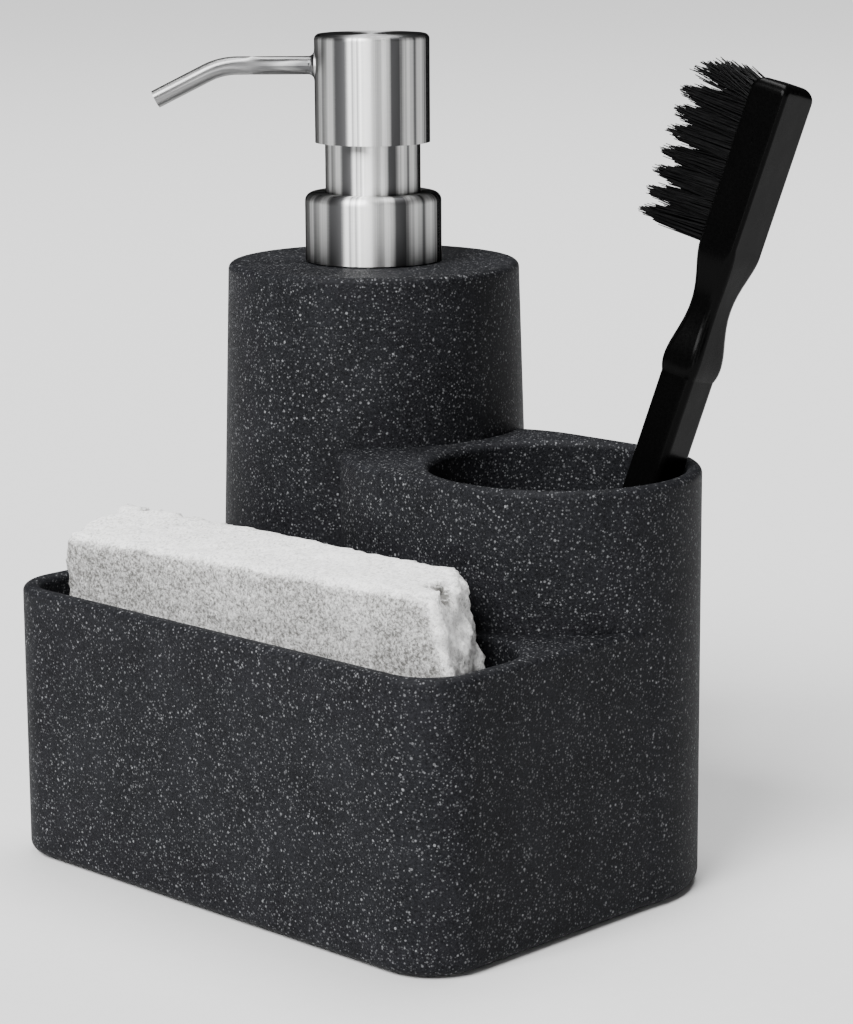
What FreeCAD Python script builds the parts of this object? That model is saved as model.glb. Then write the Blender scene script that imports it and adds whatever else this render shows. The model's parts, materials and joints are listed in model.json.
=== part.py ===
import FreeCAD, Part
import math
import os

Vector = FreeCAD.Vector
UP = Vector(0, 0, 1)
ORIGIN = Vector(0, 0, 0)

# Casting: a tray in front, a cup at the right and a tapered soap reservoir at the back left.
# The origin is on the table, midway along the tray and midway from its front to the cup's back.
tray_reach = 52.0
tray_height = 63.0
tray_floor = 6.0
tray_ledge = 2.0
front_corner = 13.5
left_overlap = 6.6
back_corner = 14.0
ledge_corner = 14.0
wall = 4.0
cup_wall = 3.4
cup_radius = 31.5
cup_land = 2.65
cup_reach = 7.1
cup_proud = 0.4
cup_back = 20.0
cup_height = 93.7
cup_floor = 8.0
reservoir_setback = 7.1
reservoir_taper = 4.0
reservoir_height = 131.8
reservoir_floor = 7.0
reservoir_roof = 5.0
roof_skirt = 6.0
rim_round = 1.6
base_round = 2.5
shoulder_round = 1.6
floor_round = 4.5
overrun = 1.0

# Non-slip pad in a shallow recess of the base
pad_thickness = 2.0
pad_proud = 0.5
pad_inset = 6.0
pad_clearance = 0.3

# Threaded neck glued into the reservoir's mouth
neck_radius = 13.0
neck_bore = 9.6
neck_rise = 9.4
spigot_radius = 11.6
spigot_depth = 10.0
glue_gap = 0.05

# Pump stack that the collar holds down on the neck
gasket_thickness = 1.2
gasket_radius = 12.6
gasket_gap = 0.15
flange_radius = 12.9
cylinder_flange = 1.4
cylinder_radius = 7.2
cylinder_bore = 6.2
cylinder_drop = 49.2
seat_rise = 5.2
seat_hole = 2.0
seat_land = 2.2
nipple_radius = 4.6
nipple_taper = 4.5
nipple_depth = 8.0
tube_radius = 3.0
tube_bore = 2.1
tube_lift = 3.0
push_gap = 0.05

# Check valve: ball on its cone seat under a drilled cage
ball_radius = 2.8
ball_gap = 0.08
ball_lift = 1.2
ball_stop_gap = 0.12
cage_thickness = 2.6
cage_hole = 1.6
cage_ports = 4
cage_port_radius = 0.8

# Stem guide with the steel sleeve pushed over it
guide_flange = 1.5
guide_skirt = 5.6
guide_floor = 1.5
guide_tube_radius = 5.2
guide_tube_rise = 7.9
guide_wall = 1.45
guide_setback = 0.5
sleeve_radius = 11.05
sleeve_sheet = 0.7
sleeve_height = 17.2
sleeve_lip = 0.35
press_gap = 0.02

# Screw collar: drawn steel shell over a plastic nut
collar_radius = 15.85
collar_sheet = 0.8
collar_gap = 0.3
collar_height = 15.7
collar_round = 2.0
collar_play = 0.3
thread_play = 0.2
nut_play = 0.1
nut_foot_gap = 0.4

# Moving plunger: hollow stem, piston with two lips, and the plug that bears on the spring
stroke = 11.0
stem_radius = 3.3
stem_bore = 1.6
stem_play = 0.08
port_radius = 0.8
piston_gap = 0.3
piston_length = 7.2
piston_waist = 5.2
piston_lip = 1.2
piston_play = 0.08
plug_flange = 1.8
plug_flange_radius = 5.4
plug_pin_length = 5.0
plug_nose_radius = 3.3
plug_nose_length = 5.0

# Return spring round the plug's nose
spring_wire = 0.9
spring_radius = 4.55
spring_turns = 7
spring_end_gap = 0.3
quarters_a_turn = 4

# Pump head: drawn steel cap, plastic core and bent steel spout
head_radius = 13.3
head_sheet = 0.9
head_height = 24.8
head_round = 1.3
head_landing = 0.5
core_rise = 15.0
hub_radius = 6.0
hub_drop = 7.0
socket_depth = 6.6
spout_radius = 2.1
spout_bore = 1.5
spout_rise = 17.6
spout_root = 5.0
spout_run = 31.0
spout_bend = 16.0
spout_nose = 13.2
spout_flare = 1.4
spout_bend_angle = 26.6
spout_angle = 224.0

# Cleaning brush leaning in the cup
brush_length = 174.0
brush_width = 10.8
brush_depth = 8.5
brush_edge = 1.8
brush_rest_gap = 0.4
brush_lean_angle = 17.8
brush_heading_angle = 44.2
brush_twist_angle = 142.0
head_width = 12.4
head_depth = 9.2
head_edge = 1.1
tip_corner = 2.6
neck_width = 8.6
neck_depth = 6.9
grip_end_share = 0.62
bulge_share = 0.665
neck_share = 0.715
flare_share = 0.755
head_start_share = 0.79
grip_foot_share = 0.015
foot_size_share = 0.8
tuft_rows = 8
tuft_columns = 3
tuft_sides = 6
tuft_half_across = 1.6
tuft_half_along = 1.95
tuft_tip_share = 0.5
tuft_length = 17.9
tuft_rake_low = -0.8
tuft_rake_high = 0.7
tuft_first = 2.0
tuft_last = 4.4
tuft_margin = 2.6

# Sponge standing on its long edge in the tray, worn at its right end
sponge_length = 125.0
sponge_height = 71.0
sponge_thickness = 22.0
sponge_front_gap = 8.0
sponge_side_gap = 1.75
sponge_rest_gap = 0.35
sponge_edge = 2.2
sponge_front_shares = ((-0.92, 0.0), (0.99, 0.0), (1.0, 0.79), (0.905, 1.0), (-0.965, 0.945))
sponge_back_shares = ((-0.95, 0.0), (0.85, 0.0), (0.82, 0.74), (0.725, 1.01), (-0.975, 1.01))

# Places worked out from the sizes above. The reservoir fills the corner that the tray's left side, the
# well and the land round the cup's hole leave it, so its radius follows from those three.
half_width = sponge_length / 2 + sponge_side_gap + wall
cup_x = half_width - cup_radius + cup_proud
cup_y = cup_back
cup_bore = cup_radius - cup_wall
well_back = cup_y - cup_radius - tray_ledge
reservoir_front = well_back + reservoir_setback
room_across = half_width + cup_x
room_back = cup_y - reservoir_front
room_between = cup_bore + cup_land
room = room_across + room_back + room_between
reservoir_base_radius = room - math.sqrt(room ** 2 - room_across ** 2 - room_back ** 2 + room_between ** 2)
reservoir_top_radius = reservoir_base_radius - reservoir_taper
pump_x = reservoir_base_radius - half_width
pump_y = reservoir_front + reservoir_base_radius
cup_left = pump_x + reservoir_base_radius + cup_reach
left_reach = pump_y + left_overlap
parting = reservoir_height - reservoir_roof - roof_skirt
neck_top = reservoir_height + neck_rise
flange_seat = neck_top + gasket_thickness
guide_seat = flange_seat + cylinder_flange
sleeve_seat = guide_seat + guide_flange
sleeve_top = sleeve_seat + sleeve_height
collar_foot = reservoir_height + collar_gap
collar_top = collar_foot + collar_height
head_foot = collar_top + stroke + head_landing
head_top = head_foot + head_height
core_foot = head_foot + core_rise
spout_height = head_foot + spout_rise
seat_top = flange_seat - cylinder_drop + seat_rise
seat_foot = seat_top - seat_rise
seat_half_angle = math.atan2(cylinder_bore - seat_hole, seat_rise)
seat_apex = seat_foot - seat_hole / math.tan(seat_half_angle)
ball_height = seat_apex + (ball_radius + ball_gap) / math.sin(seat_half_angle)
cage_foot = ball_height + ball_radius + ball_lift + ball_stop_gap
cage_top = cage_foot + cage_thickness
tube_top = seat_foot - seat_land
piston_top = guide_seat - guide_skirt - piston_gap
piston_foot = piston_top - piston_length
stem_foot = piston_foot
plug_foot = stem_foot - plug_flange
stem_top = core_foot - hub_drop + socket_depth
diagonal_share = math.sqrt(0.5)


def save(shape, node):
    """Write one node's solid or solids."""
    shape.exportStep("parts/" + node + ".step")


def rounded_wire(corners, z):
    """Closed outline at height z through corners given as x, y and rounding."""
    starts, middles, ends = [], [], []
    for index, (x, y, rounding) in enumerate(corners):
        here = Vector(x, y, z)
        before = Vector(*corners[index - 1][:2], z)
        after = Vector(*corners[(index + 1) % len(corners)][:2], z)
        towards_before = (before - here).normalize()
        towards_after = (after - here).normalize()
        half = towards_before.getAngle(towards_after) / 2
        inward = (towards_before + towards_after).normalize()
        starts.append(here + towards_before * (rounding / math.tan(half)))
        middles.append(here + inward * (rounding / math.sin(half) - rounding))
        ends.append(here + towards_after * (rounding / math.tan(half)))
    edges = []
    for index, corner in enumerate(corners):
        if corner[2]:
            edges.append(Part.Arc(starts[index], middles[index], ends[index]).toShape())
        following = starts[(index + 1) % len(corners)]
        edges.append(Part.LineSegment(ends[index], following).toShape())
    return Part.Wire(edges)


def prism(wire, height):
    """Straight solid standing on a flat outline."""
    return Part.Face(wire).extrude(UP * height)


def level_edges(shape, z):
    """Edges of a shape that lie flat at height z."""
    near = 1e-4 * tray_height
    return [edge for edge in shape.Edges
            if abs(edge.BoundBox.ZMin - z) < near and abs(edge.BoundBox.ZMax - z) < near]


def round_level(shape, z, rounding):
    """Round every edge that lies flat at height z."""
    return shape.makeFillet(rounding, level_edges(shape, z))


def rim_edges(shape, z, left, right, front, back):
    """Edges at height z that lie within a box in plan."""
    near = rim_round / 4
    return [edge for edge in level_edges(shape, z)
            if edge.BoundBox.XMin > left - near and edge.BoundBox.XMax < right + near
            and edge.BoundBox.YMin > front - near and edge.BoundBox.YMax < back + near]


def turned(profile):
    """Solid turned about the pump's axis from radius and height steps; a step of four is an arc."""
    corners = [Vector(pump_x + step[-2], pump_y, step[-1]) for step in profile]
    edges = []
    for index, step in enumerate(profile):
        if len(step) == 4:
            middle = Vector(pump_x + step[0], pump_y, step[1])
            edges.append(Part.Arc(corners[index - 1], middle, corners[index]).toShape())
        else:
            edges.append(Part.LineSegment(corners[index - 1], corners[index]).toShape())
    face = Part.Face(Part.Wire(edges))
    return face.revolve(Vector(pump_x, pump_y, 0), UP, 360)


def quarter(radius, height, rounding, outward=1):
    """Middle of a quarter round whose centre stands at a radius and height, facing up."""
    return radius + outward * rounding * diagonal_share, height + rounding * diagonal_share


def on_pump_axis(z):
    """Point on the pump's axis."""
    return Vector(pump_x, pump_y, z)


def tray_corners(inset):
    """Corners of the tray block, whose back runs inside the cup and the reservoir."""
    side = half_width - inset
    front = inset - tray_reach
    return [(-side, front, front_corner - inset), (side, front, front_corner - inset),
            (side, cup_y, 0), (-side, left_reach - inset, back_corner - inset)]


def cup_wire(inset, z):
    """Pill outline of the cup block: two half rounds joined by straight sides."""
    radius = cup_radius - inset
    front_left, front_right = Vector(cup_left, cup_y - radius, z), Vector(cup_x, cup_y - radius, z)
    back_left, back_right = Vector(cup_left, cup_y + radius, z), Vector(cup_x, cup_y + radius, z)
    return Part.Wire([
        Part.LineSegment(front_left, front_right).toShape(),
        Part.Arc(front_right, Vector(cup_x + radius, cup_y, z), back_right).toShape(),
        Part.LineSegment(back_right, back_left).toShape(),
        Part.Arc(back_left, Vector(cup_left - radius, cup_y, z), front_left).toShape()])


def footprint(inset, foot, height):
    """Flat slab with the outline of the whole base, drawn in by an inset."""
    slab = prism(rounded_wire(tray_corners(inset), foot), height)
    slab = slab.fuse(prism(cup_wire(inset, foot), height))
    disc = Part.makeCylinder(reservoir_base_radius - inset, height, on_pump_axis(foot))
    return slab.fuse(disc).removeSplitter()


# Casting: three rounded blocks grown together, then hollowed, with the reservoir's roof bonded on
def caddy_body():
    foot = pad_proud
    tray = prism(rounded_wire(tray_corners(0), foot), tray_height - foot)
    tray = round_level(tray, tray_height, rim_round)
    tray = round_level(tray, foot, base_round)
    cup = prism(cup_wire(0, foot), cup_height - foot)
    cup = round_level(cup, cup_height, rim_round)
    cup = round_level(cup, foot, base_round)
    reservoir = Part.makeCone(reservoir_base_radius, reservoir_top_radius,
                              reservoir_height - foot, on_pump_axis(foot))
    reservoir = round_level(reservoir, reservoir_height, shoulder_round)
    reservoir = round_level(reservoir, foot, base_round)
    body = tray.fuse(cup).fuse(reservoir).removeSplitter()

    side = half_width - wall
    front = wall - tray_reach
    well_corner = front_corner - wall
    well_corners = [(-side, front, well_corner), (side, front, well_corner),
                    (side, well_back, ledge_corner), (-side, well_back, ledge_corner)]
    well = prism(rounded_wire(well_corners, tray_floor), tray_height - tray_floor + overrun)
    well = round_level(well, tray_floor, floor_round)
    hole = Part.makeCylinder(cup_bore, cup_height - cup_floor + overrun, Vector(cup_x, cup_y, cup_floor))
    hole = round_level(hole, cup_floor, floor_round)
    hollow_height = reservoir_height - reservoir_roof - reservoir_floor
    hollow = Part.makeCone(reservoir_base_radius - wall, reservoir_top_radius - wall, hollow_height,
                           on_pump_axis(reservoir_floor))
    hollow = round_level(hollow, reservoir_floor, floor_round)
    hollow = round_level(hollow, reservoir_floor + hollow_height, floor_round)
    mouth = Part.makeCylinder(spigot_radius + glue_gap, reservoir_roof + 2 * overrun,
                              on_pump_axis(reservoir_height - reservoir_roof - overrun))
    recess = footprint(pad_inset - pad_clearance, foot - overrun, pad_thickness - pad_proud + overrun)
    body = body.cut(well).cut(hole).cut(hollow.fuse(mouth)).cut(recess)

    body = body.makeFillet(rim_round, rim_edges(body, tray_height, -side, side, front, well_back))
    body = body.makeFillet(rim_round, rim_edges(body, cup_height, cup_x - cup_bore, cup_x + cup_bore,
                                                cup_y - cup_bore, cup_y + cup_bore))
    above = Part.makeCylinder(reservoir_base_radius, reservoir_height, on_pump_axis(parting))
    roof = body.common(above)
    above.translate(UP * -glue_gap)
    return Part.makeCompound([body.cut(above), roof])


def base_pad():
    return footprint(pad_inset, 0, pad_thickness)


def neck_insert():
    spigot_foot = reservoir_height - spigot_depth
    return turned([(neck_bore, spigot_foot), (spigot_radius, spigot_foot),
                   (spigot_radius, reservoir_height), (neck_radius, reservoir_height),
                   (neck_radius, neck_top), (neck_bore, neck_top)])


# Pump stack: gasket, cylinder with its flange, dip tube, check valve and stem guide
def neck_gasket():
    return turned([(cylinder_radius + gasket_gap, neck_top), (gasket_radius, neck_top),
                   (gasket_radius, flange_seat), (cylinder_radius + gasket_gap, flange_seat)])


def pump_cylinder():
    nipple_foot = tube_top - nipple_depth
    return turned([(flange_radius, guide_seat), (flange_radius, flange_seat),
                   (cylinder_radius, flange_seat), (cylinder_radius, seat_foot),
                   (nipple_radius, seat_foot - nipple_taper),
                   (nipple_radius, nipple_foot), (tube_radius + push_gap, nipple_foot),
                   (tube_radius + push_gap, tube_top), (seat_hole, tube_top), (seat_hole, seat_foot),
                   (cylinder_bore, seat_top), (cylinder_bore, guide_seat)])


def dip_tube():
    foot = reservoir_floor + tube_lift
    return turned([(tube_bore, foot), (tube_radius, foot), (tube_radius, tube_top), (tube_bore, tube_top)])


def check_ball():
    return Part.makeSphere(ball_radius, on_pump_axis(ball_height))


def ball_cage():
    cage = turned([(cage_hole, cage_foot), (cylinder_bore - press_gap, cage_foot),
                   (cylinder_bore - press_gap, cage_top), (cage_hole, cage_top)])
    ring = (cage_hole + cylinder_bore) / 2
    for index in range(cage_ports):
        angle = math.tau * index / cage_ports
        outward = Vector(ring * math.cos(angle), ring * math.sin(angle), 0)
        cage = cage.cut(Part.makeCylinder(cage_port_radius, cage_thickness + 2 * overrun,
                                          on_pump_axis(cage_foot - overrun) + outward))
    return cage


def stem_guide():
    boss = sleeve_radius - sleeve_sheet - press_gap
    boss_top = sleeve_top - guide_setback
    pocket_foot = sleeve_seat + guide_floor
    tube_rim = pocket_foot + guide_tube_rise
    bore = stem_radius + stem_play
    skirt_foot = guide_seat - guide_skirt
    return turned([(bore, skirt_foot), (cylinder_bore - press_gap, skirt_foot),
                   (cylinder_bore - press_gap, guide_seat), (flange_radius, guide_seat),
                   (flange_radius, sleeve_seat), (boss, sleeve_seat), (boss, boss_top),
                   (boss - guide_wall, boss_top), (boss - guide_wall, pocket_foot),
                   (guide_tube_radius, pocket_foot), (guide_tube_radius, tube_rim), (bore, tube_rim)])


def guide_sleeve():
    inside = sleeve_radius - sleeve_sheet
    lip = sleeve_radius - sleeve_lip
    shoulder = sleeve_top - sleeve_lip
    return turned([(inside, sleeve_seat), (sleeve_radius, sleeve_seat), (sleeve_radius, shoulder),
                   (*quarter(lip, shoulder, sleeve_lip), lip, sleeve_top), (inside, sleeve_top)])


# Screw collar
def collar_shell():
    shoulder = collar_top - collar_round
    crown = collar_radius - collar_round
    inside = collar_radius - collar_sheet
    eye = sleeve_radius + collar_play
    inner_round = collar_round - collar_sheet
    return turned([(inside, collar_foot), (collar_radius, collar_foot), (collar_radius, shoulder),
                   (*quarter(crown, shoulder, collar_round), crown, collar_top), (eye, collar_top),
                   (eye, collar_top - collar_sheet), (crown, collar_top - collar_sheet),
                   (*quarter(crown, shoulder, inner_round), inside, shoulder)])


def closure_nut():
    outside = collar_radius - collar_sheet - press_gap
    bore = neck_radius + thread_play
    foot = collar_foot + nut_foot_gap
    web_foot = sleeve_seat + nut_play
    web_top = collar_top - collar_sheet
    crown = collar_radius - collar_round
    shoulder = collar_top - collar_round
    eye = sleeve_radius + collar_play
    return turned([(bore, foot), (outside, foot), (outside, shoulder), (crown, shoulder),
                   (crown, web_top), (eye, web_top), (eye, web_foot), (bore, web_foot)])


# Plunger
def stem():
    tube = turned([(stem_bore, stem_foot), (stem_radius, stem_foot), (stem_radius, stem_top),
                   (stem_bore, stem_top)])
    start = on_pump_axis(piston_foot + piston_length / 2) - Vector(stem_radius + overrun, 0, 0)
    port = Part.makeCylinder(port_radius, 2 * stem_radius + 2 * overrun, start, Vector(1, 0, 0))
    return tube.cut(port)


def piston():
    bore = stem_radius + press_gap
    lip = cylinder_bore - piston_play
    return turned([(bore, piston_foot), (lip, piston_foot), (lip, piston_foot + piston_lip),
                   (piston_waist, piston_foot + 2 * piston_lip),
                   (piston_waist, piston_top - 2 * piston_lip),
                   (lip, piston_top - piston_lip), (lip, piston_top), (bore, piston_top)])


def stem_plug():
    pin = stem_bore - press_gap
    pin_top = stem_foot + plug_pin_length
    nose_foot = plug_foot - plug_nose_length
    return turned([(0, nose_foot), (plug_nose_radius, nose_foot), (plug_nose_radius, plug_foot),
                   (plug_flange_radius, plug_foot), (plug_flange_radius, stem_foot), (pin, stem_foot),
                   (pin, pin_top), (0, pin_top)])


# Return spring: one wire on biarcs that follow a helix
def helix_point(turn):
    foot = cage_top + spring_end_gap + spring_wire / 2
    rise = plug_foot - cage_top - 2 * spring_end_gap - spring_wire
    angle = math.tau * turn
    place = Vector(spring_radius * math.cos(angle), spring_radius * math.sin(angle),
                   foot + rise * turn / spring_turns)
    slope = Vector(-spring_radius * math.sin(angle), spring_radius * math.cos(angle),
                   rise / spring_turns / math.tau)
    return Vector(pump_x, pump_y, 0) + place, slope.normalize()


def tangent_arc(start, control, end):
    """Arc that leaves start towards control and reaches end."""
    middle = (start + end) * 0.5
    half_chord = start.distanceToPoint(end) / 2
    turn = math.acos(half_chord / start.distanceToPoint(control))
    crest = middle + (control - middle).normalize() * (half_chord * math.tan(turn / 2))
    return Part.Arc(start, crest, end).toShape()


def biarc(start, leaving, end, arriving):
    """Two arcs that meet with one tangent."""
    span = end - start
    both = leaving + arriving
    square = 2 * (1 - leaving.dot(arriving))
    along = span.dot(both)
    reach = (-along + math.sqrt(along * along + square * span.dot(span))) / square
    joint = (start + end + (leaving - arriving) * reach) * 0.5
    return [tangent_arc(start, start + leaving * reach, joint),
            tangent_arc(joint, end - arriving * reach, end)]


def return_spring():
    edges = []
    steps = spring_turns * quarters_a_turn
    for index in range(steps):
        start, leaving = helix_point(index / quarters_a_turn)
        end, arriving = helix_point((index + 1) / quarters_a_turn)
        edges += biarc(start, leaving, end, arriving)
    path = Part.Wire(edges)
    start, leaving = helix_point(0)
    section = Part.Wire(Part.makeCircle(spring_wire / 2, start, leaving))
    points = path.discretize(Number=steps * quarters_a_turn + 1)
    least = min(points[first].distanceToPoint(points[second])
                for first in range(len(points))
                for second in range(first + 2 * quarters_a_turn, len(points)))
    print("spring's least gap to itself", round(least - spring_wire, 2))
    return path.makePipeShell([section], True, False)


# Pump head
def from_spout(shape):
    """Move a shape drawn with the spout along X, from the axis at its height, to its place."""
    shape.rotate(ORIGIN, UP, spout_angle)
    shape.translate(on_pump_axis(spout_height))
    return shape


def spout_hole(radius, start, end):
    return from_spout(Part.makeCylinder(radius, end - start, Vector(start, 0, 0), Vector(1, 0, 0)))


def head_shell():
    inside = head_radius - head_sheet
    shoulder = head_top - head_round
    crown = head_radius - head_round
    shell = turned([(inside, head_foot), (head_radius, head_foot), (head_radius, shoulder),
                    (*quarter(crown, shoulder, head_round), crown, head_top), (0, head_top),
                    (0, head_top - head_sheet), (inside, head_top - head_sheet)])
    return shell.cut(spout_hole(spout_radius + push_gap, spout_root, head_radius + overrun))


def actuator_core():
    outside = head_radius - head_sheet - press_gap
    hub_foot = core_foot - hub_drop
    bore = stem_radius + press_gap
    core = turned([(stem_bore, stem_top), (bore, stem_top), (bore, hub_foot), (hub_radius, hub_foot),
                   (hub_radius, core_foot), (outside, core_foot), (outside, head_top - head_sheet),
                   (0, head_top - head_sheet), (0, spout_height), (stem_bore, spout_height)])
    core = core.cut(spout_hole(spout_bore, 0, spout_root))
    return core.cut(spout_hole(spout_radius + push_gap, spout_root, head_radius))


def spout_tube():
    ring = Part.Face([Part.Wire(Part.makeCircle(spout_radius, Vector(spout_root, 0, 0), Vector(1, 0, 0))),
                      Part.Wire(Part.makeCircle(spout_bore, Vector(spout_root, 0, 0), Vector(1, 0, 0)))])
    tube = ring.extrude(Vector(spout_run - spout_root, 0, 0))
    ring.translate(Vector(spout_run - spout_root, 0, 0))
    bend_centre = Vector(spout_run, 0, -spout_bend)
    tube = tube.fuse(ring.revolve(bend_centre, Vector(0, 1, 0), spout_bend_angle))
    ring.rotate(bend_centre, Vector(0, 1, 0), spout_bend_angle)
    fall = math.radians(spout_bend_angle)
    tube = tube.fuse(ring.extrude(Vector(math.cos(fall), 0, -math.sin(fall)) * spout_nose))
    flare_start = math.sqrt(head_radius ** 2 - (spout_radius + spout_flare) ** 2)
    flare_end = head_radius + spout_flare
    flare_radius = spout_radius + spout_flare
    inner, outer = Vector(flare_start, 0, spout_radius), Vector(flare_end, 0, spout_radius)
    crest, corner = Vector(head_radius, 0, flare_radius), Vector(flare_start, 0, flare_radius)
    sag = spout_flare * diagonal_share
    middle = Vector(flare_end - sag, 0, flare_radius - sag)
    face = Part.Face(Part.Wire([
        Part.LineSegment(inner, outer).toShape(), Part.Arc(outer, middle, crest).toShape(),
        Part.LineSegment(crest, corner).toShape(), Part.LineSegment(corner, inner).toShape()]))
    flare = face.revolve(ORIGIN, Vector(1, 0, 0), 360)
    flare = flare.cut(Part.makeCylinder(head_radius, 4 * spout_radius, Vector(0, 0, -2 * spout_radius)))
    return from_spout(tube.fuse(flare).removeSplitter())


# Brush, drawn upright with its bristles towards X, then leaned into the cup
def brush_section(share, width, depth, edge):
    across, deep = width / 2, depth / 2
    return rounded_wire([(-deep, -across, edge), (deep, -across, edge), (deep, across, edge),
                         (-deep, across, edge)], share * brush_length)


def lean_brush(shape):
    shape.rotate(ORIGIN, UP, brush_twist_angle)
    shape.rotate(ORIGIN, Vector(0, 1, 0), brush_lean_angle)
    shape.rotate(ORIGIN, UP, brush_heading_angle)
    twist, lean = math.radians(brush_twist_angle), math.radians(brush_lean_angle)
    heading = math.radians(brush_heading_angle)
    flat_deep, flat_across = brush_depth / 2 - brush_edge, brush_width / 2 - brush_edge
    reach = abs(flat_deep * math.cos(twist)) + abs(flat_across * math.sin(twist)) + brush_edge
    foot = cup_floor + brush_rest_gap + reach * math.sin(lean)
    rim = cup_height - rim_round
    offset = cup_bore - brush_rest_gap - reach / math.cos(lean) - (rim - foot) * math.tan(lean)
    shape.translate(Vector(cup_x + offset * math.cos(heading), cup_y + offset * math.sin(heading), foot))
    return shape


def brush_handle():
    foot = brush_section(0, brush_width * foot_size_share, brush_depth * foot_size_share, brush_edge)
    grip_start = brush_section(grip_foot_share, brush_width, brush_depth, brush_edge)
    grip_end = brush_section(grip_end_share, brush_width, brush_depth, brush_edge)
    bulge = brush_section(bulge_share, brush_width, brush_depth, brush_edge)
    waist = brush_section(neck_share, neck_width, neck_depth, brush_edge)
    flare = brush_section(flare_share, brush_width, brush_depth, brush_edge)
    head_start = brush_section(head_start_share, head_width, head_depth, head_edge)
    handle = Part.makeLoft([foot, grip_start, grip_end], True, True)
    handle = handle.fuse(Part.makeLoft([grip_end, bulge, waist, flare, head_start], True, False))
    block = prism(head_start, brush_length * (1 - head_start_share))
    corners = [edge for edge in level_edges(block, brush_length) if edge.BoundBox.YLength < head_edge]
    block = block.makeFillet(tip_corner, corners)
    return lean_brush(handle.fuse(block).removeSplitter())


def tuft_ring(middle, share):
    """Outline of a tuft across its strands, with a few flat sides, as a share of its foot."""
    across, along = tuft_half_across * share, tuft_half_along * share
    angles = [math.tau * side / tuft_sides for side in range(tuft_sides)]
    corners = [middle + Vector(0, across * math.cos(angle), along * math.sin(angle)) for angle in angles]
    return Part.makePolygon(corners + corners[:1])


def bristle_tufts():
    face = head_depth / 2
    first = head_start_share * brush_length + tuft_first
    pitch = (brush_length - tuft_last - first) / (tuft_rows - 1)
    spacing = (head_width - 2 * tuft_margin) / (tuft_columns - 1)
    tufts = []
    for row in range(tuft_rows):
        rake = tuft_rake_low + (tuft_rake_high - tuft_rake_low) * row / (tuft_rows - 1)
        for column in range(tuft_columns):
            base = Vector(face, tuft_margin - head_width / 2 + column * spacing, first + row * pitch)
            tip = base + Vector(tuft_length, 0, rake)
            ends = [tuft_ring(base, 1), tuft_ring(tip, tuft_tip_share)]
            tufts.append(lean_brush(Part.makeLoft(ends, True, True)))
    return Part.makeCompound(tufts)


# Sponge: two worn outlines, front and back, joined by straight sides
def sponge():
    foot = tray_floor + sponge_rest_gap
    front = wall - tray_reach + sponge_front_gap
    wires = []
    for depth, shares in ((front, sponge_front_shares), (front + sponge_thickness, sponge_back_shares)):
        corners = [Vector(x * sponge_length / 2, depth, foot + z * sponge_height) for x, z in shares]
        wires.append(Part.makePolygon(corners + corners[:1]))
    block = Part.makeLoft(wires, True, True)
    return block.makeFillet(sponge_edge, block.Edges)


os.makedirs("parts", exist_ok=True)
for piece in (caddy_body, base_pad, neck_insert, neck_gasket, pump_cylinder, dip_tube, check_ball,
              ball_cage, stem_guide, guide_sleeve, collar_shell, closure_nut, stem, piston, stem_plug,
              return_spring, head_shell, actuator_core, spout_tube, brush_handle, bristle_tufts, sponge):
    save(piece(), piece.__name__)
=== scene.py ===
import json
import math

import bmesh
import bpy
from mathutils import Matrix, Quaternion, Vector, noise


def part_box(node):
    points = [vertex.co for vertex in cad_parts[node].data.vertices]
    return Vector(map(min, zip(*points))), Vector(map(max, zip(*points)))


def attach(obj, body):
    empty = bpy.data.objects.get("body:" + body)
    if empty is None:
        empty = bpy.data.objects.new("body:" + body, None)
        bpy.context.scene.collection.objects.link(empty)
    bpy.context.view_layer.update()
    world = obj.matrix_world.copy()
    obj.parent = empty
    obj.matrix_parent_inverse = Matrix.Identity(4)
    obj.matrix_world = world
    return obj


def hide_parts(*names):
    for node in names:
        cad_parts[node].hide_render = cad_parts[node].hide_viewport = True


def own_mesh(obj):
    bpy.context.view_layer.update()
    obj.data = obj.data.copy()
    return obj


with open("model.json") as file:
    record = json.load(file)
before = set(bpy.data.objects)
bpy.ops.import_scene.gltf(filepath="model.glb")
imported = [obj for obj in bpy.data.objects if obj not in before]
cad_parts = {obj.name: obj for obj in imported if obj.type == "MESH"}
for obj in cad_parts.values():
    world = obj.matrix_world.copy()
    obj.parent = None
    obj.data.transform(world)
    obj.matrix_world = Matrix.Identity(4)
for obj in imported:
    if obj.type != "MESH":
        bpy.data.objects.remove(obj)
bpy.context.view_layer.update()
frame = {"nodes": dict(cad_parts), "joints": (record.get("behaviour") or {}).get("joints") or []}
nodes = frame["nodes"]


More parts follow.
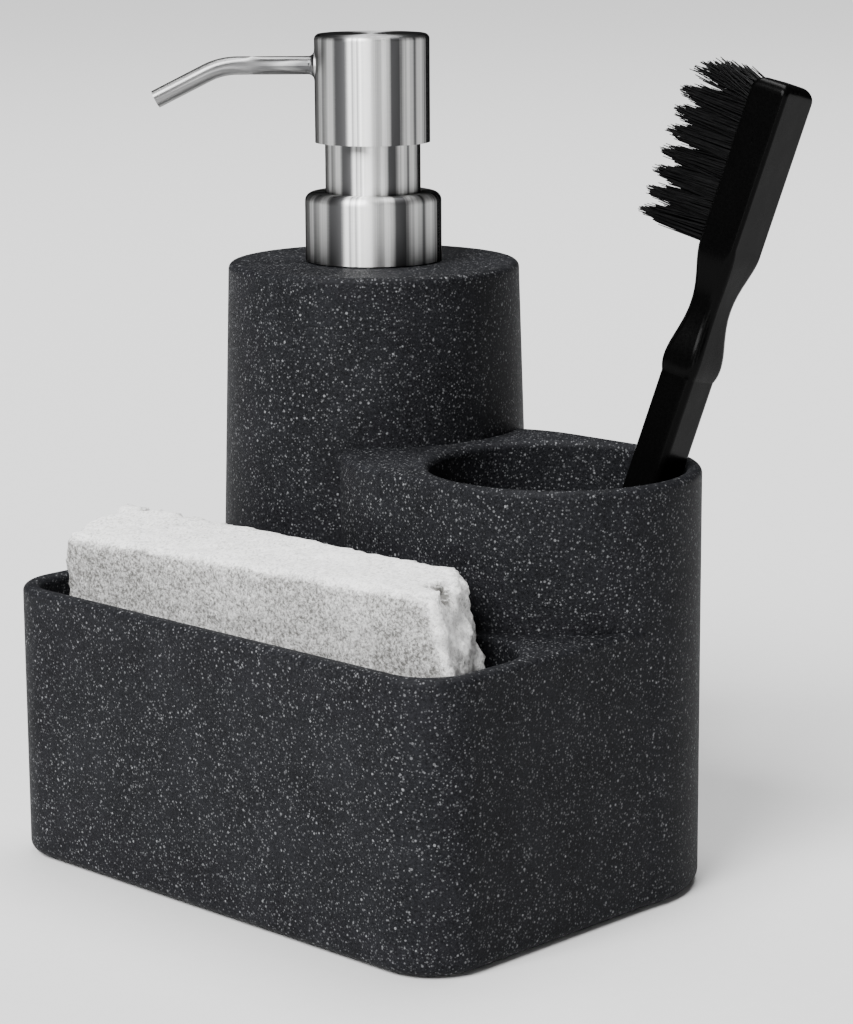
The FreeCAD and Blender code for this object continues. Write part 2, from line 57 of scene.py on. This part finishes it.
# Casting: the tray, the cup and the reservoir in one piece of dark resin filled with pale mineral grit.
# It is poured in a mould and blasted matt, so its skin is grainy and the grit shows as pale specks.
class Socket:
    """An output of a node in a tree; sums written on it add their Math nodes."""

    def __init__(self, tree, socket=None):
        self.tree = tree
        self.socket = socket

    def node(self, kind, settings, inputs, output=0):
        """Add a node, with its settings set first and then its sockets, and give one of its outputs."""
        made = self.tree.nodes.new(kind)
        for name, value in settings.items():
            setattr(made, name, value)
        for name, value in inputs.items():
            if isinstance(value, Socket):
                self.tree.links.new(value.socket, made.inputs[name])
            else:
                made.inputs[name].default_value = value
        return Socket(self.tree, made.outputs[output])

    def other(self, output):
        """Another output of the same node."""
        return Socket(self.tree, self.socket.node.outputs[output])

    def sum(self, operation, first, second, clamp=False):
        settings = {"operation": operation, "use_clamp": clamp}
        return self.node("ShaderNodeMath", settings, {0: first, 1: second})

    def __add__(self, other):
        return self.sum("ADD", self, other)

    def __sub__(self, other):
        return self.sum("SUBTRACT", self, other)

    def __rsub__(self, other):
        return self.sum("SUBTRACT", other, self)

    def __mul__(self, other):
        return self.sum("MULTIPLY", self, other)

    def __pow__(self, other):
        return self.sum("POWER", self, other)

    __radd__ = __add__
    __rmul__ = __mul__

    def held(self):
        """The value held between 0 and 1."""
        return self.sum("ADD", self, 0, clamp=True)

    def swing(self, weight):
        """How far the value is from one half, times a weight."""
        return (self - 0.5) * weight

    def between(self, low, high):
        """A colour from low to high, with this value as the share of high."""
        return self.node("ShaderNodeMix", {"data_type": "RGBA"}, {0: self, 6: low, 7: high}, 2)


def new_finish(name, fixed):
    """A material whose shader has these fixed values, and a socket to start its tree from."""
    material = bpy.data.materials.new(name)
    material.use_nodes = True
    shader = material.node_tree.nodes["Principled BSDF"]
    for socket, value in fixed.items():
        shader.inputs[socket].default_value = value
    return material, Socket(material.node_tree)


def feed(material, **inputs):
    """Lead sockets into the material's shader."""
    shader = material.node_tree.nodes["Principled BSDF"]
    for name, value in inputs.items():
        material.node_tree.links.new(value.socket, shader.inputs[name.replace("_", " ")])


def object_place(tree):
    return tree.node("ShaderNodeTexCoord", {}, {}, 3)


def noise_at(tree, place, size, detail=2.0, roughness=0.5):
    """Soft noise whose lumps are about this size in metres."""
    inputs = {"Vector": place, "Scale": 1 / size, "Detail": detail, "Roughness": roughness}
    return tree.node("ShaderNodeTexNoise", {}, inputs)


def cells_at(tree, place, pitch):
    """The distance to the nearest of random points about this far apart in metres."""
    return tree.node("ShaderNodeTexVoronoi", {}, {"Vector": place, "Scale": 1 / pitch})


def bump(tree, height, depth, strength):
    inputs = {"Height": height, "Distance": depth, "Strength": strength}
    return tree.node("ShaderNodeBump", {}, inputs)


def paint(material, *names):
    for name in names:
        nodes[name].material_slots[0].material = material


grit_paleness_power = 1.6


def specks(tree, place, pitch, reach, sharpness):
    """Grit grains on a random lattice: each cell's grain has its own size and paleness."""
    cells = cells_at(tree, place, pitch)
    chance = tree.node("ShaderNodeSeparateColor", {}, {0: cells.other(1)})
    grain = ((chance * reach - cells) * sharpness).held()
    return grain * (chance.other(1) ** grit_paleness_power)


resin_dark = (0.0027, 0.0028, 0.0034, 1)
resin_pale = (0.0148, 0.0153, 0.0178, 1)
grit_pale = (0.30, 0.305, 0.315, 1)
resin_roughness = 0.6
resin_roughness_swing = 0.5
cloud_swing = 0.8
grain_swing = 2.2
fine_grit_weight = 0.36
coarse_grit_weight = 0.52
grit_bump_weight = 0.5
lattice_turn = (0.6, 0.35, 0.9)
resin, tree = new_finish("speckled resin", {"Specular IOR Level": 0.06})
place = tree.node("ShaderNodeMapping", {}, {"Vector": object_place(tree), "Rotation": lattice_turn})
clouds = noise_at(tree, place, size=0.012, detail=3.0, roughness=0.6)
skin_grain = noise_at(tree, place, size=0.00055, detail=3.0, roughness=0.65)
fine_grit = specks(tree, place, pitch=0.00050, reach=0.62, sharpness=4.0)
coarse_grit = specks(tree, place, pitch=0.00095, reach=0.40, sharpness=6.0)
tone = (clouds.swing(cloud_swing) + skin_grain.swing(grain_swing) + 0.5).held()
grit = (fine_grit * fine_grit_weight + coarse_grit * coarse_grit_weight).held()
feed(resin, Base_Color=grit.between(tone.between(resin_dark, resin_pale), grit_pale),
     Roughness=skin_grain.swing(resin_roughness_swing) + resin_roughness,
     Normal=bump(tree, skin_grain + grit * grit_bump_weight, depth=0.0003, strength=0.55))
paint(resin, "caddy_body")


# Base pad: a sheet of closed-cell foam rubber die-cut to the outline of the base.
# It is glued into a shallow recess and stands a little proud, so the caddy doesn't slide.
foam_dark = (0.012, 0.012, 0.013, 1)
foam_pale = (0.030, 0.030, 0.031, 1)
pad_roughness = 0.72
pad_roughness_swing = 0.2
pore_weight = 0.9
wear_weight = 0.5
pad_foam, tree = new_finish("pad foam", {"Specular IOR Level": 0.25})
place = object_place(tree)
pores = cells_at(tree, place, pitch=0.0011)
wear = noise_at(tree, place, size=0.014, detail=3.0)
shade = (pores * pore_weight + wear * wear_weight).held()
feed(pad_foam, Base_Color=shade.between(foam_dark, foam_pale),
     Roughness=wear * pad_roughness_swing + pad_roughness,
     Normal=bump(tree, pores, depth=0.0003, strength=0.5))
paint(pad_foam, "base_pad")


# Pump plastics: neck, cylinder, cage, guide, nut, stem, piston, plug and core, moulded in natural white.
# The moulded faces have a faint orange peel and a tint that drifts from cool to warm.
plastic_cool = (0.76, 0.77, 0.77, 1)
plastic_warm = (0.83, 0.82, 0.79, 1)
plastic_roughness = 0.3
plastic_roughness_swing = 0.2
white_plastic, tree = new_finish("white moulded plastic", {"IOR": 1.49})
place = object_place(tree)
flow = noise_at(tree, place, size=0.009)
peel = noise_at(tree, place, size=0.0008)
feed(white_plastic, Base_Color=flow.between(plastic_cool, plastic_warm),
     Roughness=peel * plastic_roughness_swing + plastic_roughness,
     Normal=bump(tree, peel, depth=0.0001, strength=0.25))
paint(white_plastic, "neck_insert", "pump_cylinder", "ball_cage", "stem_guide", "closure_nut", "stem",
      "piston", "stem_plug", "actuator_core")


# Dip tube: extruded milky tubing pushed into the cylinder's foot, with faint draw lines along it.
# It reaches almost to the reservoir's floor.
tube_thin = (0.80, 0.83, 0.84, 1)
tube_cloudy = (0.66, 0.69, 0.70, 1)
tube_roughness = 0.2
tube_roughness_swing = 0.2
tube_drawing = (1, 1, 0.05)
tubing, tree = new_finish("cloudy tubing", {"IOR": 1.5})
place = object_place(tree)
drawn_place = tree.node("ShaderNodeMapping", {}, {"Vector": place, "Scale": tube_drawing})
drawn = noise_at(tree, drawn_place, size=0.0012, detail=3.0)
feed(tubing, Base_Color=drawn.between(tube_cloudy, tube_thin),
     Roughness=drawn * tube_roughness_swing + tube_roughness)
paint(tubing, "dip_tube")


# Gasket: a washer punched from black sheet rubber, with a faint grey bloom on its faces.
# The collar clamps it between the neck and the cylinder's flange.
rubber_dark = (0.016, 0.016, 0.016, 1)
rubber_pale = (0.045, 0.044, 0.043, 1)
rubber_roughness = 0.65
rubber_roughness_swing = 0.2
gasket_rubber, tree = new_finish("gasket rubber", {"Specular IOR Level": 0.3})
place = object_place(tree)
bloom = noise_at(tree, place, size=0.0025, detail=4.0)
feed(gasket_rubber, Base_Color=bloom.between(rubber_dark, rubber_pale),
     Roughness=bloom * rubber_roughness_swing + rubber_roughness,
     Normal=bump(tree, bloom, depth=0.0001, strength=0.3))
paint(gasket_rubber, "neck_gasket")


# Check ball and return spring: bright stainless steel, ground and drawn.
# The spring sits between the cage and the plug.
bright_low = (0.62, 0.62, 0.63, 1)
bright_high = (0.74, 0.74, 0.75, 1)
bright_roughness = 0.1
bright_roughness_swing = 0.1
bright_steel, tree = new_finish("bright steel", {"Metallic": 1.0})
place = object_place(tree)
polish = noise_at(tree, place, size=0.0014, detail=3.0)
feed(bright_steel, Base_Color=polish.between(bright_low, bright_high),
     Roughness=polish * bright_roughness_swing + bright_roughness)
paint(bright_steel, "check_ball", "return_spring")
spring_piece = bpy.data.objects.new("pressed_spring", nodes["return_spring"].data.copy())
bpy.context.scene.collection.objects.link(spring_piece)
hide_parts("return_spring")
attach(spring_piece, "pump_core")
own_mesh(spring_piece)


# Collar, sleeve, head and spout: drawn stainless steel, spun against an abrasive to a satin finish.
# The spinning pulls each reflection out along the height. Broad upright bands of painted reflection, light
# and dark, are laid into the colour around the pump's axis, with finer streaks that are partly drawn grain
# and partly painted reflection.
# The head's flat top is kept free of the painted bands and painted a darker grey as painted shade.
steel_dark = (0.13, 0.13, 0.133, 1)
steel_pale = (0.88, 0.88, 0.87, 1)
steel_edge = (0.06, 0.06, 0.06, 1)
steel_shine = 0.38
# Weights of the painted reflection bands and of the finer streaks, part drawn grain and part painted
# reflection.
reflection_band_swing = 4.4
grain_and_reflection_swing = 1.2
spun_swing = 0.2
flat_top_depth = 0.0008
# The flat top's painted shade.
flat_top_painted_shade = 0.16
steel_roughness = 0.34
spun_roughness_swing = 0.1
handled_roughness_swing = 0.08
spun_stretch = (0.03, 0.03, 1)
satin_steel, tree = new_finish("satin steel", {"Metallic": 1.0, "Anisotropic": 0.9,
                                               "Anisotropic Rotation": 0.25, "Specular Tint": steel_edge})
collar_low, collar_high = (Vector(corner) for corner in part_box("collar_shell"))
pump_axis = (collar_low + collar_high) / 2
head_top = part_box("head_shell")[1][2]
place = object_place(tree)
height = tree.node("ShaderNodeSeparateXYZ", {}, {0: place}, 2)
flat_top = ((height - (head_top - flat_top_depth)) * (2 / flat_top_depth)).held()
outward = tree.node("ShaderNodeMapping", {}, {"Vector": place, "Location": (-pump_axis.x, -pump_axis.y, 0),
                                              "Scale": (1, 1, 0)})
outward = tree.node("ShaderNodeVectorMath", {"operation": "NORMALIZE"}, {0: outward})
# Painted reflection: broad upright bands, light and dark, by direction around the pump's axis.
painted_reflection_bands = noise_at(tree, outward, size=0.30, roughness=0.55)
grain_and_reflection_streaks = noise_at(tree, outward, size=0.05, roughness=0.6)
spun_place = tree.node("ShaderNodeMapping", {}, {"Vector": place, "Scale": spun_stretch})
spun = noise_at(tree, spun_place, size=0.00012, detail=4.0, roughness=0.7)
handled = noise_at(tree, place, size=0.012)
# The steel's colour carries painted reflections from these bands and streaks.
shine = painted_reflection_bands.swing(reflection_band_swing) + grain_and_reflection_streaks.swing(grain_and_reflection_swing) + spun.swing(spun_swing) + steel_shine
# Painted shade: the head's flat top gets one darker grey.
shine = shine.held() * (1 - flat_top) + flat_top * flat_top_painted_shade
feed(satin_steel, Base_Color=shine.between(steel_dark, steel_pale),
     Roughness=spun * spun_roughness_swing + handled * handled_roughness_swing + steel_roughness,
     Normal=bump(tree, spun, depth=0.00002, strength=0.12))
paint(satin_steel, "guide_sleeve", "collar_shell", "head_shell", "spout_tube")


# Brush handle: one injection moulding in glossy black plastic, with a drilled head for the tufts.
# The gloss is broken by faint sink marks and by fine scratches from handling.
handle_black = (0.0006, 0.0006, 0.0006, 1)
handle_worn = (0.0018, 0.0018, 0.0018, 1)
handle_roughness = 0.1
scratch_roughness_swing = 0.2
sink_roughness_swing = 0.1
scratch_bump_weight = 0.04
black_plastic, tree = new_finish("black gloss plastic", {"Specular IOR Level": 0.04})
place = object_place(tree)
sinks = noise_at(tree, place, size=0.010)
scratches = noise_at(tree, place, size=0.0006, detail=4.0, roughness=0.7)
feed(black_plastic, Base_Color=scratches.between(handle_black, handle_worn),
     Roughness=scratches * scratch_roughness_swing + sinks * sink_roughness_swing + handle_roughness,
     Normal=bump(tree, sinks + scratches * scratch_bump_weight, depth=0.0006, strength=0.22))
paint(black_plastic, "brush_handle")


# Bristles: tufts of black nylon strands, folded over a staple in each hole of the head.
# The tufts stand close at their feet and draw together to ragged points.
# The row at the tip of the brush is splayed out by use.
strands_a_tuft = 130
strand_radius = 0.00014
strand_sides = 5
strand_points = 3
strand_taper = 0.35
strand_stray = 0.00040
outer_strand_trim = 0.3
shortest_strand, longest_strand = 0.94, 1.04
tuft_foot_radius = 0.0016
tuft_foot_stretch = 1.85
tuft_tip_share = 0.52
tuft_end_depth = 0.0004
end_tuft_splay = 0.0040
end_tuft_trim = 0.5
weld_gap = 1e-6
brush_twist_angle = 142.0
nylon_black = (0.0012, 0.0012, 0.0013, 1)
nylon_grey = (0.0050, 0.0050, 0.0052, 1)
nylon_roughness = 0.3
nylon_roughness_swing = 0.2
nylon, tree = new_finish("black nylon", {"Specular IOR Level": 0.06})
place = object_place(tree)
dusty = noise_at(tree, place, size=0.0016, detail=3.0)
feed(nylon, Base_Color=dusty.between(nylon_black, nylon_grey),
     Roughness=dusty * nylon_roughness_swing + nylon_roughness)

brush_axis = Vector(next(joint["axis"] for joint in frame["joints"] if joint["name"] == "brush_lift"))
brush_heading = math.atan2(brush_axis.y, brush_axis.x)
brush_lean = math.acos(brush_axis.z)
brush_turn = (Matrix.Rotation(brush_heading, 3, "Z") @ Matrix.Rotation(brush_lean, 3, "Y")
              @ Matrix.Rotation(math.radians(brush_twist_angle), 3, "Z"))
bristle_way = brush_turn @ Vector((1, 0, 0))
brush_across = brush_turn @ Vector((0, 1, 0))


def islands(mesh):
    """The loose solids of a mesh, each as a list of its points."""
    shape = bmesh.new()
    shape.from_mesh(mesh)
    bmesh.ops.remove_doubles(shape, verts=shape.verts, dist=weld_gap)
    left = set(shape.verts)
    found = []
    while left:
        reached = [left.pop()]
        for vert in reached:
            for edge in vert.link_edges:
                beside = edge.other_vert(vert)
                if beside in left:
                    left.remove(beside)
                    reached.append(beside)
        found.append([vert.co.copy() for vert in reached])
    shape.free()
    return found


def end_of(points, direction):
    """The middle of the points that lie furthest along a direction."""
    furthest = max(point.dot(direction) for point in points)
    at_end = [point for point in points if furthest - point.dot(direction) < tuft_end_depth]
    return sum(at_end, Vector()) / len(at_end)


tufts = [(end_of(points, -bristle_way), end_of(points, bristle_way))
         for points in islands(nodes["bristle_tufts"].data)]
tufts.sort(key=lambda tuft: (round(tuft[0].z, 4), round(tuft[0].x, 4)))
tuft_mesh = bpy.data.meshes.new("tuft places")
tuft_mesh.from_pydata([foot for foot, tip in tufts], [], [])
tuft_mesh.attributes.new("reach", "FLOAT_VECTOR", "POINT")
tuft_mesh.attributes.new("splay", "FLOAT", "POINT")
end_row = max(foot.dot(brush_axis) for foot, tip in tufts)
for index, (foot, tip) in enumerate(tufts):
    at_end = end_row - foot.dot(brush_axis) < tuft_foot_radius
    tuft_mesh.attributes["reach"].data[index].vector = tip - foot
    tuft_mesh.attributes["splay"].data[index].value = 1.0 if at_end else 0.0

bristle_tree = bpy.data.node_groups.new("bristles", "GeometryNodeTree")
bristle_inputs = {}
for name, kind, value in (("Places", "NodeSocketGeometry", None),
                          ("Strands", "NodeSocketInt", strands_a_tuft),
                          ("Foot Radius", "NodeSocketFloat", tuft_foot_radius),
                          ("Tip Share", "NodeSocketFloat", tuft_tip_share),
                          ("Stray", "NodeSocketFloat", strand_stray),
                          ("Strand Radius", "NodeSocketFloat", strand_radius),
                          ("Across", "NodeSocketVector", brush_across),
                          ("Along", "NodeSocketVector", brush_axis * tuft_foot_stretch)):
    socket = bristle_tree.interface.new_socket(name, in_out="INPUT", socket_type=kind)
    if value is not None:
        bristle_inputs[socket.identifier] = value
bristle_tree.interface.new_socket("Bristles", in_out="OUTPUT", socket_type="NodeSocketGeometry")
start = Socket(bristle_tree)
places = start.node("NodeGroupInput", {}, {})
strands, foot_radius, tip_share, most_stray, strand_thickness, across, along = (
    places.other(output) for output in range(1, 8))


def random_of(low, high, seed):
    inputs = {2: low, 3: high, "Seed": seed}
    return start.node("FunctionNodeRandomValue", {"data_type": "FLOAT"}, inputs, 1)


def vectors(operation, first, second):
    name = "Scale" if operation == "SCALE" else 1
    return start.node("ShaderNodeVectorMath", {"operation": operation}, {0: first, name: second})


def sideways(over, lengthwise):
    """A shift in the plane of the tufts' feet."""
    return vectors("ADD", vectors("SCALE", across, over), vectors("SCALE", along, lengthwise))


points = start.node("GeometryNodeMeshToPoints", {}, {"Mesh": places})
points = start.node("GeometryNodeDuplicateElements", {"domain": "POINT"},
                    {"Geometry": points, "Amount": strands})
angle = random_of(0, math.tau, seed=11)
outwards = random_of(0, 1, seed=23)
radius = outwards ** 0.5 * foot_radius
offset = sideways(radius * angle.sum("COSINE", angle, 0), radius * angle.sum("SINE", angle, 0))
points = start.node("GeometryNodeSetPosition", {}, {"Geometry": points, "Offset": offset})
reach = start.node("GeometryNodeInputNamedAttribute", {"data_type": "FLOAT_VECTOR"}, {"Name": "reach"})
stray = sideways(random_of(-1, 1, seed=37) * most_stray, random_of(-1, 1, seed=53) * most_stray)
drawn_in = vectors("SCALE", offset, tip_share - 1)
splay = start.node("GeometryNodeInputNamedAttribute", {"data_type": "FLOAT"}, {"Name": "splay"})
splay = splay * random_of(0, 1, seed=89)
splayed = vectors("SCALE", along, splay * end_tuft_splay)
strand_way = vectors("ADD", vectors("ADD", reach, drawn_in), vectors("ADD", stray, splayed))
trim = (1 - outwards * outer_strand_trim) * (1 - splay * end_tuft_trim)
trim = trim * random_of(shortest_strand, longest_strand, seed=71)
length = start.node("ShaderNodeVectorMath", {"operation": "LENGTH"}, {0: strand_way}, 1) * trim
strand = start.node("GeometryNodeCurvePrimitiveLine", {}, {"End": (0, 0, 1)})
strand = start.node("GeometryNodeResampleCurve", {}, {"Curve": strand, "Count": strand_points})
share = start.node("GeometryNodeSplineParameter", {}, {})
ring = start.node("GeometryNodeCurvePrimitiveCircle", {},
                  {"Resolution": strand_sides, "Radius": strand_thickness})
strand = start.node("GeometryNodeCurveToMesh", {}, {"Curve": strand, "Profile Curve": ring,
                                                    "Scale": 1 - share * strand_taper, "Fill Caps": True})
size = start.node("ShaderNodeCombineXYZ", {}, {0: 1.0, 1: 1.0, 2: length})
turn = start.node("FunctionNodeAlignRotationToVector", {"axis": "Z"}, {"Vector": strand_way})
bristles = start.node("GeometryNodeInstanceOnPoints", {},
                      {"Points": points, "Instance": strand, "Rotation": turn, "Scale": size})
bristles = start.node("GeometryNodeRealizeInstances", {}, {"Geometry": bristles})
bristles = start.node("GeometryNodeSetMaterial", {}, {"Geometry": bristles, "Material": nylon})
bristle_tree.links.new(bristles.socket, bristle_tree.nodes.new("NodeGroupOutput").inputs[0])

tuft_seed = bpy.data.objects.new("bristles_seed", tuft_mesh)
bpy.context.scene.collection.objects.link(tuft_seed)
modifier = tuft_seed.modifiers.new("tree", "NODES")
modifier.node_group = bristle_tree
for identifier, value in bristle_inputs.items():
    modifier[identifier] = value
grown_seed = tuft_seed.evaluated_get(bpy.context.evaluated_depsgraph_get())
strand_mesh = bpy.data.meshes.new_from_object(grown_seed)
tuft_seed.modifiers.remove(modifier)
bpy.data.objects.remove(tuft_seed)
bristle_piece = bpy.data.objects.new("bristles", strand_mesh)
bpy.context.scene.collection.objects.link(bristle_piece)
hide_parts("bristle_tufts")
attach(bristle_piece, "brush")


# Sponge: a block of pale open-cell foam standing on its long edge, cut with a knife and worn by use.
# Its skin is full of small pores, its edges are ragged, and small bits have broken out along the top.
# The front face and the broken hollows are darkened with painted shade, while the edges and ends stay
# white.
sponge_voxel = 0.0011
sponge_low, sponge_high = (Vector(corner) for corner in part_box("sponge"))
sponge_size = sponge_high - sponge_low
break_shares = ((0.925, 0.40, 0.980), (0.07, 0.92, 0.985), (0.19, 0.97, 0.985))
break_reaches = (0.0042, 0.0026, 0.0022)
break_depth_share = 0.9
break_lump_share = 0.3
# These four set the painted shade: in the broken hollows and on the front face.
break_painted_shade = 1.1
break_shade_depth = 0.0012
front_painted_shade = 0.60
front_shade_power = 4
lump_size, lump_fall, lump_step, lump_octaves = 0.0045, 0.8, 2.1, 4
crumb_size = 0.0021
pore_pitch, pore_reach = 0.0034, 0.34
edge_gain = 2.2
edge_worn_share = 0.3
skin_depth = 0.00045
edge_depth = 0.0020
crumb_depth = 0.0011
pore_depth = 0.0009
sponge_white = (0.91, 0.905, 0.895, 1)
sponge_grey = (0.13, 0.127, 0.12, 1)
sponge_paleness = 0.70
cell_weight = 0.35
cell_bump_weight = 0.6
fibre_swing = 2.6
stain_swing = 0.4
foam_roughness = 0.88
foam_roughness_swing = 0.1
foam, tree = new_finish("sponge foam", {"Specular IOR Level": 0.12})
place = object_place(tree)
cells = cells_at(tree, place, pitch=0.0013)
fibres = noise_at(tree, place, size=0.0006, detail=4.0, roughness=0.75)
stains = noise_at(tree, place, size=0.016, detail=3.0)
# Painted shade: this mesh attribute darkens the front face and the broken hollows.
painted_shade = tree.node("ShaderNodeAttribute", {"attribute_name": "painted_shade"}, {}, 2)
shade = cells * cell_weight + fibres.swing(fibre_swing) + stains.swing(stain_swing)
shade = (shade + sponge_paleness - painted_shade).held()
feed(foam, Base_Color=shade.between(sponge_grey, sponge_white),
     Roughness=fibres * foam_roughness_swing + foam_roughness,
     Normal=bump(tree, cells * cell_bump_weight + fibres, depth=0.0006, strength=0.6))

sponge_mesh = nodes["sponge"].data.copy()
shape = bmesh.new()
shape.from_mesh(sponge_mesh)
bmesh.ops.remove_doubles(shape, verts=shape.verts, dist=weld_gap)
shape.to_mesh(sponge_mesh)
shape.free()
block = bpy.data.objects.new("sponge_block", sponge_mesh)
bpy.context.scene.collection.objects.link(block)
remesh = block.modifiers.new("remesh", "REMESH")
remesh.mode = "VOXEL"
remesh.voxel_size = sponge_voxel
fine_block = block.evaluated_get(bpy.context.evaluated_depsgraph_get())
worn_mesh = bpy.data.meshes.new_from_object(fine_block)
bpy.data.objects.remove(block)
breaks = [(sponge_low + Vector(shares) * sponge_size, reach)
          for shares, reach in zip(break_shares, break_reaches)]
normals = [vert.normal.copy() for vert in worn_mesh.vertices]
painted_shade_shares = []
for vert, normal in zip(worn_mesh.vertices, normals):
    at_edge = min(1.0, edge_gain * (1 - max(abs(part) for part in normal)))
    lump = noise.fractal(vert.co / lump_size, lump_fall, lump_step, lump_octaves)
    crumb = noise.noise(vert.co / crumb_size)
    pore = noise.voronoi(vert.co / pore_pitch)[0][0]
    broken = max(0.0, *(reach * (1 + break_lump_share * lump) - (vert.co - middle).length
                        for middle, reach in breaks))
    depth = lump * (skin_depth + edge_depth * at_edge) + crumb * crumb_depth * at_edge
    depth += pore_depth * max(0.0, pore_reach - pore) / pore_reach + edge_worn_share * edge_depth * at_edge
    depth += break_depth_share * broken
    # Painted shade: on the front face by how far it faces forward, and in the broken hollows by their
    # depth.
    painted_shade_shares.append(front_painted_shade * max(0.0, -normal.y) ** front_shade_power
                       + break_painted_shade * min(1.0, broken / break_shade_depth))
    vert.co -= normal * depth
worn_mesh.attributes.new("painted_shade", "FLOAT", "POINT").data.foreach_set("value", painted_shade_shares)
sponge_piece = bpy.data.objects.new("worn_sponge", worn_mesh)
bpy.context.scene.collection.objects.link(sponge_piece)
sponge_piece.data.materials.clear()
sponge_piece.data.materials.append(foam)
sponge_piece.data.shade_smooth()
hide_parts("sponge")
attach(sponge_piece, "sponge")


# Studio: a pale paper floor under a broad soft key light at the front and a large soft box overhead.
# Two narrow strips at the right put upright highlights on the steel.
# The camera has a long lens and stands at the front right, a little above the pump's head.
floor_radius = 12.0
floor_segments = 64
floor_white = (0.70, 0.70, 0.70, 1)
floor_shade = (0.67, 0.67, 0.67, 1)
floor_roughness = 0.85
floor_roughness_swing = 0.1
floor_paper, tree = new_finish("floor paper", {"Specular IOR Level": 0.1})
place = object_place(tree)
fibre = noise_at(tree, place, size=0.004, detail=3.0)
feed(floor_paper, Base_Color=fibre.between(floor_shade, floor_white),
     Roughness=fibre * floor_roughness_swing + floor_roughness)
floor_mesh = bpy.data.meshes.new("floor")
shape = bmesh.new()
bmesh.ops.create_circle(shape, cap_ends=True, segments=floor_segments, radius=floor_radius)
shape.to_mesh(floor_mesh)
shape.free()
floor = bpy.data.objects.new("floor", floor_mesh)
floor.data.materials.append(floor_paper)
bpy.context.scene.collection.objects.link(floor)

object_middle = Vector((0, 0, 0.08))


def lamp(name, kind, azimuth, elevation, distance, **settings):
    """A light that faces the object; its azimuth is counted from the front to the right."""
    light = bpy.data.lights.new(name, kind)
    for setting, value in settings.items():
        setattr(light, setting, value)
    around, up = math.radians(azimuth), math.radians(elevation)
    away = Vector((math.sin(around) * math.cos(up), -math.cos(around) * math.cos(up), math.sin(up)))
    made = bpy.data.objects.new(name, light)
    made.location = object_middle + away * distance
    made.rotation_mode = "QUATERNION"
    made.rotation_quaternion = (-away).to_track_quat("-Z", "Y")
    made.visible_camera = False
    bpy.context.scene.collection.objects.link(made)


lamp("key", "SUN", azimuth=6, elevation=44, distance=6.0, energy=7.4, angle=math.radians(34))
lamp("left strip", "AREA", azimuth=38, elevation=12, distance=1.3,
     shape="RECTANGLE", size=0.08, size_y=0.6, energy=2.4)
lamp("right strip", "AREA", azimuth=70, elevation=12, distance=1.3,
     shape="RECTANGLE", size=0.05, size_y=0.6, energy=1.2)
lamp("top box", "AREA", azimuth=205, elevation=76, distance=3.0,
     shape="RECTANGLE", size=1.6, size_y=1.6, energy=110)
room_light = 0.04
world = bpy.data.worlds.new("studio")
bpy.context.scene.world = world
world.use_nodes = True
world.node_tree.nodes["Background"].inputs["Color"].default_value = (1, 1, 1, 1)
world.node_tree.nodes["Background"].inputs["Strength"].default_value = room_light

lens_mm = 108.45
camera_place = (0.47732, -0.47294, 0.21973)
camera_azimuth = math.radians(44.24)
camera_fall = math.radians(11.68)
camera_roll = math.radians(-0.345)
ahead = Vector((-math.sin(camera_azimuth) * math.cos(camera_fall),
                math.cos(camera_azimuth) * math.cos(camera_fall), -math.sin(camera_fall)))
camera = bpy.data.objects.new("camera", bpy.data.cameras.new("camera"))
camera.data.lens = lens_mm
camera.location = camera_place
camera.rotation_mode = "QUATERNION"
camera.rotation_quaternion = ahead.to_track_quat("-Z", "Y") @ Quaternion((0, 0, 1), camera_roll)
bpy.context.scene.collection.objects.link(camera)
bpy.context.scene.camera = camera
